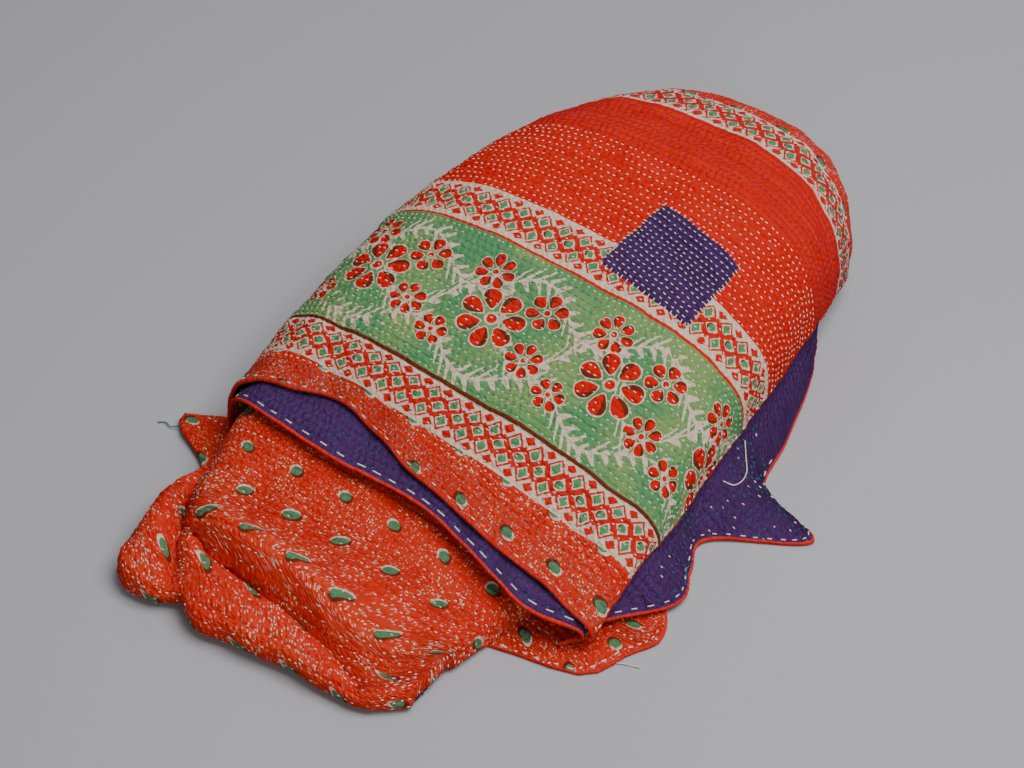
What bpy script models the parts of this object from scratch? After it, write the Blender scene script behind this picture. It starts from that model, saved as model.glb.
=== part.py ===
"""Kantha quilt, loosely folded into a plump loaf.

The quilt is two cloths of one size quilted together, a printed face and a plain backing, with one
patch on the face. It is doubled lengthwise, face outwards, into a strip of two plies whose doubled
edge is on the left. The strip is then folded back and forth: the top leg runs back from the hem over
the loaf, the inner leg comes forward and out as the tongue, the floor leg runs back under it all, and
the short last leg ends inside. Some of the free side margins spread out on the right. A corner of the
floor leg's doubled edge peeps out on the left, behind the tongue.

Lengths in the tables are millimetres. +X is right, +Y runs back along the loaf, +Z is up.
"""
import math

import bmesh
import bpy
import numpy as np

MM = 0.001

PLY_HALF_GAP = 2.9        # from the middle of the strip to the middle of a ply
CLOTH_NEAR = 0.15         # from the middle of a ply to the near side of each cloth
CLOTH_FAR = 1.35          # and to its far side
FLOOR_LEVEL = PLY_HALF_GAP + CLOTH_FAR
PATCH_CLEAR = 0.7         # air under the patch
PATCH_THICK = 1.2
RIB_STEPS = 30            # even steps that a rib is worked out in
CELL_STEPS = (0, 1, 3, 6, 10, 14, 18, 22, 25, 27)   # where the cells start, to the right flank
FLANK_CELLS = 4           # cells on the right flank
MARGIN_CELLS = 2          # those of them on a free margin that spreads out
TURN_CELLS = 2            # cells round the doubled edge
CENTRE = (18.9, 22.0)     # middle of the folded quilt, before it is moved to the origin

# Each row is a rib of the strip, in order from the hem. The rib is an arch from a left foot to a
# right foot. Its top slopes from top_left to top_right, square sets how full its shoulders are, its
# two ends lag by bow, and skew turns it in plan.
RIB_COLUMNS = ("leg", "y", "left", "right", "foot_left", "foot_right", "top_left", "top_right",
               "square", "bow", "skew")
BACK_RIBS = (
    ("top", -150, -172, 166, 14, 20, 93, 42, 0.60, 0, -14),
    ("top", -122, -171, 167, 14, 31, 96, 46, 0.60, 0, -12),
    ("top", -92, -172, 168, 14, 38, 101, 58, 0.60, 0, -10),
    ("top", -55, -172, 168, 14, 31, 108, 74, 0.60, 0, -8),
    ("top", -15, -171, 167, 14, 31, 114, 86, 0.60, 0, -6),
    ("top", 30, -168, 166, 14, 31, 120, 96, 0.60, 0, -4),
    ("top", 80, -163, 166, 14, 31, 125, 104, 0.60, 4, -2),
    ("top", 135, -154, 165, 14, 31, 128, 110, 0.60, 10, 0),
    ("top", 190, -139, 163, 14, 31, 130, 118, 0.62, 16, 0),
    ("top", 245, -119, 161, 14, 31, 125, 118, 0.66, 28, 0),
    ("top", 296, -99, 156, 18, 24, 110, 106, 0.72, 42, 0),
    ("far", 328, -84, 149, 24, 26, 88, 86, 0.80, 54, 0),
    ("far", 338, -77, 144, 22, 24, 58, 56, 0.90, 60, 0),
    ("far", 330, -75, 138, 14, 14, 30, 28, 0.90, 58, 0),
    ("far", 302, -74, 130, 6, 6, 9, 9, 0.90, 50, 0),
    ("inner", 262, -80, 124, 9, 9, 12, 12, 0.80, 40, 0),
    ("inner", 222, -98, 128, 24, 24, 44, 42, 0.70, 26, 0),
    ("inner", 170, -128, 138, 30, 30, 76, 66, 0.62, 14, 0),
    ("inner", 105, -145, 145, 30, 30, 96, 78, 0.60, 6, 0),
    ("inner", 30, -151, 147, 30, 30, 98, 76, 0.60, 0, 0),
    ("inner", -45, -151, 147, 30, 28, 90, 58, 0.60, 0, 0),
    ("inner", -105, -150, 138, 28, 20, 80, 38, 0.60, 0, 0),
    ("inner", -150, -151, 118, 24, 9, 72, 28, 0.58, 0, 4),
    ("tongue", -185, -153, 101, 18, 9, 63, 29, 0.58, 0, 0),
    ("tongue", -213, -162, 92, 15, 11, 54, 29, 0.56, 0, 0),
)

# The front fold of the tongue. Each row is a place across it, from the soft lobe on the left to the
# pinched right corner: lip is the upper roll, tuck the step under it, roll the lower one, brow and
# chin the top and bottom of the foremost edge and under the place where it meets the floor. Each
# line after the lip lies further to the right, by its share of lean.
FRONT_LINES = ("lip", "tuck", "roll", "brow", "chin", "under")
LEAN_SHARES = (0, 0.2, 0.45, 0.7, 0.8, 1)
FRONT_COLUMNS = ("x", "lean") + tuple(line + axis for line in FRONT_LINES for axis in ("_y", "_z"))
FRONT_FOLD = (
    (-168, 14, -233, 16, -250, 18, -266, 20, -282, 22, -288, 12, -250, FLOOR_LEVEL),
    (-158, 12, -236, 35, -254, 32, -271, 29, -288, 23, -293, 11, -256, FLOOR_LEVEL),
    (-132, 7, -238, 38, -256, 33, -275, 26, -293, 19, -293, 10, -260, FLOOR_LEVEL),
    (-106, 3, -240, 43, -253, 34, -268, 26, -284, 19, -283, 10, -254, FLOOR_LEVEL),
    (-84, 0, -241, 45, -254, 35, -273, 28, -295, 19, -295, 10, -264, FLOOR_LEVEL),
    (-45, 0, -244, 43, -255, 34, -272, 27, -293, 19, -293, 10, -262, FLOOR_LEVEL),
    (0, 0, -252, 36, -261, 29, -274, 24, -290, 18, -290, 10, -258, FLOOR_LEVEL),
    (34, 0, -258, 29, -267, 24, -277, 20, -290, 16, -291, 9, -260, FLOOR_LEVEL),
    (60, 0, -254, 22, -266, 19, -277, 17, -288, 14, -289, 8, -256, FLOOR_LEVEL),
    (84, 0, -230, 14, -242, 13, -253, 13, -264, 12, -270, 8, -246, FLOOR_LEVEL),
)

# The flat legs under the loaf: the floor leg runs back, turns up and comes forward again.
FLAT_COLUMNS = ("leg", "y", "left", "right", "level")
FLAT_RIBS = (
    ("floor", -225, -140, 60, FLOOR_LEVEL),
    ("floor", -188, -152, 66, FLOOR_LEVEL),
    ("floor", -165, -176, 80, FLOOR_LEVEL),
    ("floor", -140, -214, 100, FLOOR_LEVEL),
    ("floor", -115, -172, 115, FLOOR_LEVEL),
    ("floor", -85, -156, 125, FLOOR_LEVEL),
    ("floor", -40, -156, 132, FLOOR_LEVEL),
    ("floor", 50, -150, 132, FLOOR_LEVEL),
    ("floor", 140, -118, 118, FLOOR_LEVEL),
    ("turn", 176, -104, 108, 12.6),
    ("last", 140, -118, 116, 21),
    ("last", 40, -140, 128, 21),
    ("last", -60, -142, 124, 21),
)

# How far each ply's hem lies back from the first rib, along the cloth, by its place across.
HEM_COLUMNS = ("x", "over", "under")
HEMS = (
    (-172, 6, 0),
    (-150, 13, -6),
    (-112, 20, -12),
    (-86, 29, -13),
    (-60, 29, -12),
    (-30, 22, -8),
    (-5, 14, -4),
    (22, 11, -3),
    (60, 6, -8),
    (90, 3, -14),
    (122, 3, -18),
    (150, 0, -9),
    (168, 0, 0),
)
HEM_REACH = 90            # how far back the cloth is moved with its hem

# Where the free side margins lie, by the rib that they leave: the end of the margin, and the knee
# that it bends over on its way there. The upper ply of a leg shows its face.
MARGIN_COLUMNS = ("ply", "leg", "y", "knee_x", "knee_y", "knee_z", "end_x", "end_y", "end_z")
MARGINS = (
    ("under", "top", -150, 158, -162, 12, 148, -174, 8.5),
    ("under", "top", -122, 162, -134, 18, 163, -146, 12),
    ("under", "top", -92, 172, -94, 27, 199, -97, 6),
    ("under", "top", -55, 168, -58, 12, 194, -64, 4),
    ("under", "top", -15, 166, -20, 6, 188, -29, 2.5),
    ("under", "top", 30, 166, 26, 3, 256, 12, 1.4),
    ("under", "top", 80, 166, 72, 3, 204, 36, 1.4),
    ("under", "top", 135, 166, 128, 4, 194, 90, 3),
    ("under", "top", 190, 162, 178, 8, 181, 154, 5),
    ("under", "top", 245, 157, 217, 20, 158, 212, 9),
    ("over", "floor", -188, 86, -193, 1.5, 102, -197, 1.4),
    ("over", "floor", -165, 130, -180, 1.5, 169, -184, 1.4),
    ("over", "floor", -140, 150, -148, 1.5, 190, -152, 1.4),
    ("over", "floor", -115, 165, -120, 1.5, 206, -122, 1.4),
    ("over", "floor", -85, 160, -95, 1.5, 192, -100, 1.4),
)

# The patch lies on the top leg.
PATCH_RIBS = (5.9, 7.35)      # from and to, in ribs from the hem
PATCH_CELLS = (5.9, 7.5)      # from and to, in cells from the doubled edge

FABRICS = {
    "face_cloth": ((0.70, 0.09, 0.05), 0.85),
    "backing_cloth": ((0.10, 0.06, 0.20), 0.85),
    "patch": ((0.11, 0.06, 0.21), 0.85),
}


def named(columns, rows):
    return [dict(zip(columns, row)) for row in rows]


def spread_evenly(points, cells):
    """Points at equal distances along a line through the given points."""
    points = np.asarray(points, float)
    steps = np.linalg.norm(np.diff(points, axis=0), axis=1)
    along = np.concatenate([[0.0], np.cumsum(steps)])
    wanted = np.linspace(0.0, along[-1], cells + 1)
    return np.stack([np.interp(wanted, along, points[:, axis]) for axis in range(3)], axis=-1)


def arch(rib):
    """The line of an arched rib, from its left foot to its right foot."""
    angle = np.linspace(0.0, math.pi, 65)
    side = -np.cos(angle)
    reach = np.sign(side) * np.abs(side) ** rib["square"]
    share = (reach + 1) / 2
    rise = np.sin(angle) ** rib["square"]
    foot = rib["foot_left"] + (rib["foot_right"] - rib["foot_left"]) * share
    top = rib["top_left"] + (rib["top_right"] - rib["top_left"]) * share
    x = rib["left"] + (rib["right"] - rib["left"]) * share
    y = rib["y"] - rib["bow"] * np.abs(reach) ** 3 + rib["skew"] * reach
    return np.stack([x, y, foot + (top - foot) * rise], axis=-1)


def strip_ribs():
    """Every rib of the strip in order, each as evenly spaced points from left to right."""
    ribs = [spread_evenly(arch(rib), RIB_STEPS) for rib in named(RIB_COLUMNS, BACK_RIBS)]
    front = named(FRONT_COLUMNS, FRONT_FOLD)
    for line, share in zip(FRONT_LINES, LEAN_SHARES):
        across = [(row["x"] + row["lean"] * share, row[line + "_y"], row[line + "_z"])
                  for row in front]
        ribs.append(spread_evenly(across, RIB_STEPS))
    for rib in named(FLAT_COLUMNS, FLAT_RIBS):
        ends = [(rib["left"], rib["y"], rib["level"]), (rib["right"], rib["y"], rib["level"])]
        ribs.append(spread_evenly(ends, RIB_STEPS))
    return np.array(ribs)


def unit(vectors):
    return vectors / np.linalg.norm(vectors, axis=-1, keepdims=True)


def tangents(grid, axis):
    """Unit directions along one axis of a grid of points, halfway between those of the two sides."""
    sides = unit(np.diff(grid, axis=axis))
    before = np.concatenate([sides.take([0], axis), sides], axis=axis)
    after = np.concatenate([sides, sides.take([-1], axis)], axis=axis)
    return unit(before + after)


def normals(grid):
    """Unit normals of a grid of points, up where its rows run back and its columns run right."""
    return unit(np.cross(tangents(grid, 1), tangents(grid, 0)))


def rib_order():
    """The leg and y of each rib, in the order of the strip."""
    lines = [("front", name) for name in FRONT_LINES]
    return [row[:2] for row in BACK_RIBS] + lines + [row[:2] for row in FLAT_RIBS]


def slide_hem(ply, name):
    """A ply with its hem moved along the cloth, less and less to HEM_REACH from it."""
    gaps = np.linalg.norm(np.diff(ply, axis=0), axis=-1).mean(axis=1)
    knots = np.concatenate([[-gaps[0], 0.0], np.cumsum(gaps)])
    longer = np.concatenate([ply[:1] * 2 - ply[1:2], ply])
    hems = named(HEM_COLUMNS, HEMS)
    slides = np.interp(ply[0, :, 0], [hem["x"] for hem in hems], [hem[name] for hem in hems])
    share = np.clip(1 - knots[1:] / HEM_REACH, 0, 1) ** 1.5
    slid = ply.copy()
    for column, slide in enumerate(slides):
        for axis in range(3):
            slid[:, column, axis] = np.interp(knots[1:] + slide * share, knots, longer[:, column, axis])
    return slid


def with_margins(ply_ribs, ply):
    """A ply's ribs in cells, each run on over the flank to the end of its free margin."""
    stated = {(row["leg"], row["y"]): row for row in named(MARGIN_COLUMNS, MARGINS)
              if row["ply"] == ply}
    share = np.linspace(0, 1, 13)[1:, None]
    flank_start = CELL_STEPS[-1]
    ribs = []
    for points, key in zip(ply_ribs, rib_order()):
        main = points[list(CELL_STEPS[:-1])]
        flank = spread_evenly(points[flank_start:], FLANK_CELLS)
        if key in stated:
            row = stated[key]
            knee = np.array([row["knee_x"], row["knee_y"], row["knee_z"]])
            end = np.array([row["end_x"], row["end_y"], row["end_z"]])
            curve = points[-1] * (1 - share) ** 2 + knee * 2 * share * (1 - share) + end * share ** 2
            flank = spread_evenly(points[flank_start:], FLANK_CELLS - MARGIN_CELLS)
            spread_out = spread_evenly(np.concatenate([points[-1:], curve]), MARGIN_CELLS)
            flank = np.concatenate([flank, spread_out[1:]])
        ribs.append(np.concatenate([main, flank]))
    return np.array(ribs)


def quilt_middle():
    """The middle of the quilt: over ply from its free edge to the doubled edge, then under ply."""
    strip = strip_ribs()
    lift = normals(strip) * PLY_HALF_GAP
    over = with_margins(slide_hem(strip + lift, "over"), "over")
    under = with_margins(slide_hem(strip - lift, "under"), "under")
    outward = unit(strip[:, 0] - strip[:, 1])
    turn = []
    for cell in range(1, TURN_CELLS):
        angle = math.pi * cell / TURN_CELLS
        turn.append(strip[:, 0] + lift[:, 0] * math.cos(angle)
                    + outward * PLY_HALF_GAP * math.sin(angle))
    return np.concatenate([over[:, ::-1], np.stack(turn, axis=1), under], axis=1)


def sheet_solid(name, near, far):
    """A closed cloth between two grids of points, with the near one on the inside of the solid."""
    rows, columns = near.shape[:2]
    mesh = bmesh.new()
    layers = []
    for grid in (near, far):
        placed = (grid - np.array([CENTRE[0], CENTRE[1], 0.0])) * MM
        layers.append([[mesh.verts.new(point) for point in row] for row in placed])
    low, high = layers
    for row in range(rows - 1):
        for column in range(columns - 1):
            corners = ((row, column), (row, column + 1), (row + 1, column + 1), (row + 1, column))
            for layer, order in ((high, (0, 1, 2, 3)), (low, (0, 3, 2, 1))):
                for triangle in ((0, 1, 2), (0, 2, 3)):
                    pick = [corners[corner] for corner in triangle]
                    pick = pick if order[1] == 1 else pick[::-1]
                    mesh.faces.new([layer[r][c] for r, c in pick])
    rim = [(0, column) for column in range(columns)]
    rim += [(row, columns - 1) for row in range(1, rows)]
    rim += [(rows - 1, column) for column in range(columns - 2, -1, -1)]
    rim += [(row, 0) for row in range(rows - 2, 0, -1)]
    for (r0, c0), (r1, c1) in zip(rim, rim[1:] + rim[:1]):
        mesh.faces.new([high[r1][c1], high[r0][c0], low[r0][c0]])
        mesh.faces.new([high[r1][c1], low[r0][c0], low[r1][c1]])
    bmesh.ops.recalc_face_normals(mesh, faces=mesh.faces)
    data = bpy.data.meshes.new(name)
    mesh.to_mesh(data)
    mesh.free()
    solid = bpy.data.objects.new(name, data)
    solid.data.materials.append(fabric(name))
    return solid


def fabric(name):
    colour, roughness = FABRICS[name]
    material = bpy.data.materials.new(name)
    material.use_nodes = True
    shader = material.node_tree.nodes["Principled BSDF"]
    shader.inputs["Base Color"].default_value = (*colour, 1.0)
    shader.inputs["Roughness"].default_value = roughness
    return material


def lines_between(start, end):
    """The two ends and every whole grid line between them."""
    return [start] + [line for line in range(math.ceil(start), math.ceil(end))] + [end]


def patch_grids(middle, outward):
    """The patch's two sides, just above the face of the top leg and creased where it is."""
    doubled_edge = len(CELL_STEPS) - 1 + FLANK_CELLS
    rows = lines_between(*PATCH_RIBS)
    columns = [doubled_edge - cell for cell in lines_between(*PATCH_CELLS)]
    base = np.array([[read_grid(middle, row, column) for column in columns] for row in rows])
    lift = unit(np.array([[read_grid(outward, row, column) for column in columns] for row in rows]))
    near = CLOTH_FAR + PATCH_CLEAR
    return base + lift * near, base + lift * (near + PATCH_THICK)


def read_grid(grid, row, column):
    """A grid's value between its points."""
    r, c = int(row), int(column)
    r, c = min(r, grid.shape[0] - 2), min(c, grid.shape[1] - 2)
    fr, fc = row - r, column - c
    return ((grid[r, c] * (1 - fc) + grid[r, c + 1] * fc) * (1 - fr)
            + (grid[r + 1, c] * (1 - fc) + grid[r + 1, c + 1] * fc) * fr)


def main():
    for old in list(bpy.data.objects):
        bpy.data.objects.remove(old)
    quilt = bpy.data.collections.new("kantha_quilt")
    bpy.context.scene.collection.children.link(quilt)
    middle = quilt_middle()
    outward = -normals(middle)
    solids = [
        sheet_solid("face_cloth", middle + outward * CLOTH_NEAR, middle + outward * CLOTH_FAR),
        sheet_solid("backing_cloth", middle - outward * CLOTH_FAR, middle - outward * CLOTH_NEAR),
        sheet_solid("patch", *patch_grids(middle, outward)),
    ]
    for solid in solids:
        quilt.objects.link(solid)


main()
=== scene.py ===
"""A kantha quilt, loosely folded into a loaf: its cloths, patch, stitches, hems and finishes."""

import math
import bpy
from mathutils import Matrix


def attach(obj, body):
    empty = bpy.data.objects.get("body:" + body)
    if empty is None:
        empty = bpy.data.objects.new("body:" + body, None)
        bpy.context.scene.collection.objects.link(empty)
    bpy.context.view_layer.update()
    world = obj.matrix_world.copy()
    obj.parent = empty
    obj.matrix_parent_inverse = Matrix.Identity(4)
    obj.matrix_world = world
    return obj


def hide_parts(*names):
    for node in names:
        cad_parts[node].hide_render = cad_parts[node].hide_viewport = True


bl_info = {
    "name": "Folded kantha quilt",
    "version": (1, 0, 0),
    "blender": (4, 5, 0),
    "location": "3D View > Sidebar > Quilt",
    "description": "Makes a hand-quilted cotton quilt, doubled and folded back and forth",
    "category": "Add Mesh",
}

import bpy
import numpy as np
from bpy.props import FloatProperty, FloatVectorProperty, PointerProperty

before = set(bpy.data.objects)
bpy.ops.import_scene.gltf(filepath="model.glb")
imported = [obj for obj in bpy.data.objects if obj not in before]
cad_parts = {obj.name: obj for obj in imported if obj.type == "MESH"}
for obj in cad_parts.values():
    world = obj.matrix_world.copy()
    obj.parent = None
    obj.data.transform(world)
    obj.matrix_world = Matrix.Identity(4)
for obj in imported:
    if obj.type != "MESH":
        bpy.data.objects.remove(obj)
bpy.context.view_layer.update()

# ---------------------------------------------------------------------------------------------------
# The fold. Lengths in these tables are millimetres, as the quilt lies before it is centred.
# ---------------------------------------------------------------------------------------------------
MM = 0.001
PLY_HALF_GAP = 2.9        # from the middle of the strip to the middle of a ply
CLOTH_FAR = 1.35          # from the middle of a ply to the far side of each cloth
FLOOR_LEVEL = PLY_HALF_GAP + CLOTH_FAR
CENTRE = (18.9, 22.0)     # middle of the folded quilt, before it is moved to the origin

# Each row is a rib of the strip, in order from the hem. The rib is an arch from a left foot to a
# right foot. Its top slopes from top_left to top_right, square sets how full its shoulders are, its
# two ends lag by bow, and skew turns it in plan.
RIB_COLUMNS = ("leg", "y", "left", "right", "foot_left", "foot_right", "top_left", "top_right",
               "square", "bow", "skew")
BACK_RIBS = (
    ("top", -150, -172, 166, 14, 20, 93, 42, 0.60, 0, -14),
    ("top", -122, -171, 167, 14, 31, 96, 46, 0.60, 0, -12),
    ("top", -92, -172, 168, 14, 38, 101, 58, 0.60, 0, -10),
    ("top", -55, -172, 168, 14, 31, 108, 74, 0.60, 0, -8),
    ("top", -15, -171, 167, 14, 31, 114, 86, 0.60, 0, -6),
    ("top", 30, -168, 166, 14, 31, 120, 96, 0.60, 0, -4),
    ("top", 80, -163, 166, 14, 31, 125, 104, 0.60, 4, -2),
    ("top", 135, -154, 165, 14, 31, 128, 110, 0.60, 10, 0),
    ("top", 190, -139, 163, 14, 31, 130, 118, 0.62, 16, 0),
    ("top", 245, -119, 161, 14, 31, 125, 118, 0.66, 28, 0),
    ("top", 296, -99, 156, 18, 24, 110, 106, 0.72, 42, 0),
    ("far", 328, -84, 149, 24, 26, 88, 86, 0.80, 54, 0),
    ("far", 338, -77, 144, 22, 24, 58, 56, 0.90, 60, 0),
    ("far", 330, -75, 138, 14, 14, 30, 28, 0.90, 58, 0),
    ("far", 302, -74, 130, 6, 6, 9, 9, 0.90, 50, 0),
    ("inner", 262, -80, 124, 9, 9, 12, 12, 0.80, 40, 0),
    ("inner", 222, -98, 128, 24, 24, 44, 42, 0.70, 26, 0),
    ("inner", 170, -128, 138, 30, 30, 76, 66, 0.62, 14, 0),
    ("inner", 105, -145, 145, 30, 30, 96, 78, 0.60, 6, 0),
    ("inner", 30, -151, 147, 30, 30, 98, 76, 0.60, 0, 0),
    ("inner", -45, -151, 147, 30, 28, 90, 58, 0.60, 0, 0),
    ("inner", -105, -150, 138, 28, 20, 80, 38, 0.60, 0, 0),
    ("inner", -150, -151, 118, 24, 9, 72, 28, 0.58, 0, 4),
    ("tongue", -185, -153, 101, 18, 9, 63, 29, 0.58, 0, 0),
    ("tongue", -213, -162, 92, 15, 11, 54, 29, 0.56, 0, 0),
)

# The front fold of the tongue. Each row is a place across it, from the soft lobe on the left to the
# pinched right corner: lip is the upper roll, tuck the step under it, roll the lower one, brow and
# chin the top and bottom of the foremost edge and under the place where it meets the floor. Each
# line after the lip lies further to the right, by its share of lean.
FRONT_LINES = ("lip", "tuck", "roll", "brow", "chin", "under")
LEAN_SHARES = (0, 0.2, 0.45, 0.7, 0.8, 1)
FRONT_COLUMNS = ("x", "lean") + tuple(line + axis for line in FRONT_LINES for axis in ("_y", "_z"))
FRONT_FOLD = (
    (-168, 14, -233, 16, -250, 18, -266, 20, -282, 22, -288, 12, -250, FLOOR_LEVEL),
    (-158, 12, -236, 35, -254, 32, -271, 29, -288, 23, -293, 11, -256, FLOOR_LEVEL),
    (-132, 7, -238, 38, -256, 33, -275, 26, -293, 19, -293, 10, -260, FLOOR_LEVEL),
    (-106, 3, -240, 43, -253, 34, -268, 26, -284, 19, -283, 10, -254, FLOOR_LEVEL),
    (-84, 0, -241, 45, -254, 35, -273, 28, -295, 19, -295, 10, -264, FLOOR_LEVEL),
    (-45, 0, -244, 43, -255, 34, -272, 27, -293, 19, -293, 10, -262, FLOOR_LEVEL),
    (0, 0, -252, 36, -261, 29, -274, 24, -290, 18, -290, 10, -258, FLOOR_LEVEL),
    (34, 0, -258, 29, -267, 24, -277, 20, -290, 16, -291, 9, -260, FLOOR_LEVEL),
    (60, 0, -254, 22, -266, 19, -277, 17, -288, 14, -289, 8, -256, FLOOR_LEVEL),
    (84, 0, -230, 14, -242, 13, -253, 13, -264, 12, -270, 8, -246, FLOOR_LEVEL),
)

# The flat legs under the loaf: the floor leg runs back, turns up and comes forward again.
FLAT_COLUMNS = ("leg", "y", "left", "right", "level")
FLAT_RIBS = (
    ("floor", -225, -140, 60, FLOOR_LEVEL),
    ("floor", -188, -152, 66, FLOOR_LEVEL),
    ("floor", -165, -176, 80, FLOOR_LEVEL),
    ("floor", -140, -214, 100, FLOOR_LEVEL),
    ("floor", -115, -172, 115, FLOOR_LEVEL),
    ("floor", -85, -156, 125, FLOOR_LEVEL),
    ("floor", -40, -156, 132, FLOOR_LEVEL),
    ("floor", 50, -150, 132, FLOOR_LEVEL),
    ("floor", 140, -118, 118, FLOOR_LEVEL),
    ("turn", 176, -104, 108, 12.6),
    ("last", 140, -118, 116, 21),
    ("last", 40, -140, 128, 21),
    ("last", -60, -142, 124, 21),
)

# How far each ply's hem lies back from the first rib, along the cloth, by its place across.
HEM_COLUMNS = ("x", "over", "under")
HEMS = (
    (-172, 6, 0),
    (-150, 13, -6),
    (-112, 20, -12),
    (-86, 29, -13),
    (-60, 29, -12),
    (-30, 22, -8),
    (-5, 14, -4),
    (22, 11, -3),
    (60, 6, -8),
    (90, 3, -14),
    (122, 3, -18),
    (150, 0, -9),
    (168, 0, 0),
)
HEM_REACH = 90            # how far back the cloth is moved with its hem
HEM_FADE = 1.5            # how fast that move dies away
HEM_SLOPE_ROWS = 4        # fine rows that the cloth's slope at the hem is read from
HEM_SPARE_ROWS = 10       # fine rows that it runs on for at that slope, to be moved from

# Where the free side margins lie, by the rib that they leave: the end of the margin, and the knee
# that it bends over on its way there. The upper ply of a leg shows its face.
MARGIN_COLUMNS = ("ply", "leg", "y", "knee_x", "knee_y", "knee_z", "end_x", "end_y", "end_z")
MARGINS = (
    ("under", "top", -150, 158, -162, 12, 148, -174, 8.5),
    ("under", "top", -122, 162, -134, 18, 163, -146, 12),
    ("under", "top", -92, 172, -94, 27, 199, -97, 6),
    ("under", "top", -55, 168, -58, 12, 194, -64, 4),
    ("under", "top", -15, 166, -20, 6, 188, -29, 2.5),
    ("under", "top", 30, 166, 26, 3, 256, 12, 1.4),
    ("under", "top", 80, 166, 72, 3, 204, 36, 1.4),
    ("under", "top", 135, 166, 128, 4, 194, 90, 3),
    ("under", "top", 190, 162, 178, 8, 181, 154, 5),
    ("under", "top", 245, 157, 217, 20, 158, 212, 9),
    ("over", "floor", -188, 86, -193, 1.5, 102, -197, 1.4),
    ("over", "floor", -165, 130, -180, 1.5, 169, -184, 1.4),
    ("over", "floor", -140, 150, -148, 1.5, 190, -152, 1.4),
    ("over", "floor", -115, 165, -120, 1.5, 206, -122, 1.4),
    ("over", "floor", -85, 160, -95, 1.5, 192, -100, 1.4),
)

ARCH_STEPS = 240          # steps that an arch is drawn in
CURVE_STEPS = 199         # steps that a smooth line across the cloth is drawn in
RIB_STEPS = 100           # even steps across a rib
TURN_STEPS = 4            # steps round the doubled edge
RIB_CELLS = 116           # cells across a ply, its free margin included
MARGIN_STEPS = 24         # steps that a margin's bend is drawn in
STITCH_ROW = 6.0          # from one row of quilting to the next
HALF_ROW = STITCH_ROW / 2
STITCH_PITCH = 5.8        # from one running stitch to the next
STITCH_LENGTH = 2.0
ROW_RIPPLE = 0.34         # how far the rows of quilting draw the cloth in

# Low irregular swells of the folded cloth: the seed and size of their waves, how many there are, how
# much shorter they are along the cloth, and how high they stand.
SWELL_COLUMNS = ("seed", "size", "waves", "squeeze", "height")
SWELLS = ((3, 42.0, 9, 1.0, 1.0), (5, 17.0, 9, 1.0, 0.5), (8, 11.0, 12, 1.7, 0.28))

# How closely the rows of the fine cloth lie on each leg, in half stitch rows.
ROW_GAPS = {"top": 1, "far": 1, "inner": 5, "tongue": 1, "front": 1, "floor": 3, "turn": 2, "last": 5}

# Soft troughs (below zero) and ridges of the folded cloth: the leg they are on, their line in plan,
# their half width and their height. They fade out near the ends of their leg.
CREASE_COLUMNS = ("leg", "line", "half_width", "height")
CREASE_FADE = 12.0
CREASES = (
    # between the tongue and the soft lobe on its left
    ("tongue", ((-148, -170), (-146, -205), (-143, -228), (-137, -244), (-124, -264), (-112, -290)), 8, -17),
    # the deep tuck under the upper lip, and the lip over it
    ("tongue", ((-142, -232), (-104, -250), (-60, -256), (-16, -261), (20, -271), (50, -284)), 6.5, -19),
    ("tongue", ((-126, -226), (-90, -234), (-40, -238), (6, -245), (36, -256)), 8, 7),
    ("tongue", ((-116, -276), (-70, -284), (-20, -280), (24, -284)), 9, 3),
    # hollows that run down the tongue to its pinched corner
    ("tongue", ((76, -160), (66, -205), (46, -250)), 14, -4),
    ("tongue", ((-30, -160), (-10, -195), (2, -235)), 18, 4),
    ("tongue", ((-104, -160), (-96, -190), (-84, -224)), 12, -4),
    # the loaf's top: low swells and dents in the doubled cloth
    ("top", ((-150, -60), (-60, -70), (20, -78), (110, -96)), 9, -2.4),
    ("top", ((-140, 40), (-40, 52), (60, 42)), 16, 2.2),
    ("top", ((-20, 120), (60, 130), (140, 112)), 14, -2.8),
    ("top", ((-120, 150), (-60, 170), (0, 190)), 18, 2.4),
    ("top", ((-80, 226), (10, 244), (110, 222)), 12, -3.6),
    ("top", ((0, 200), (70, 212), (130, 196)), 12, 2.2),
    ("top", ((40, -140), (52, -90), (40, -30)), 20, 2.4),
    ("top", ((-110, -140), (-96, -100), (-120, -50)), 14, -2.8),
    ("top", ((-40, -150), (-52, -120), (-44, -92)), 10, -3.4),
    ("top", ((120, -140), (128, -70), (120, -10)), 13, -3.2),
    ("top", ((140, 20), (146, 80), (136, 150)), 12, -3.4),
    ("top", ((-145, 90), (-134, 150), (-112, 220)), 12, -3.0),
    # short wrinkles by the patch
    ("top", ((128, 150), (140, 168)), 4, -1.8),
    ("top", ((112, 176), (134, 182)), 4, -1.6),
    ("top", ((124, 128), (146, 136)), 4, 1.6),
    ("top", ((60, 178), (92, 186)), 4, -1.5),
)

# Where the outer ply's side margin turns down and under along the tongue, laid out as MARGINS.
TUCKED_MARGINS = (
    ("under", "tongue", -185, 108, -192, 4, 98, -192, 1.5),
    ("under", "tongue", -213, 101, -222, 4, 88, -218, 1.5),
    ("under", "front", "lip", 95, -238, 4, 80, -230, 1.5),
    ("under", "front", "tuck", 95, -250, 4, 78, -236, 1.5),
    ("under", "front", "roll", 93, -262, 4, 76, -242, 1.5),
    ("under", "front", "brow", 90, -271, 3, 74, -248, 1.5),
    ("under", "front", "chin", 86, -272, 2, 72, -250, 1.5),
    ("under", "front", "under", 86, -250, 1.4, 84, -244, 1.4),
)

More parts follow.
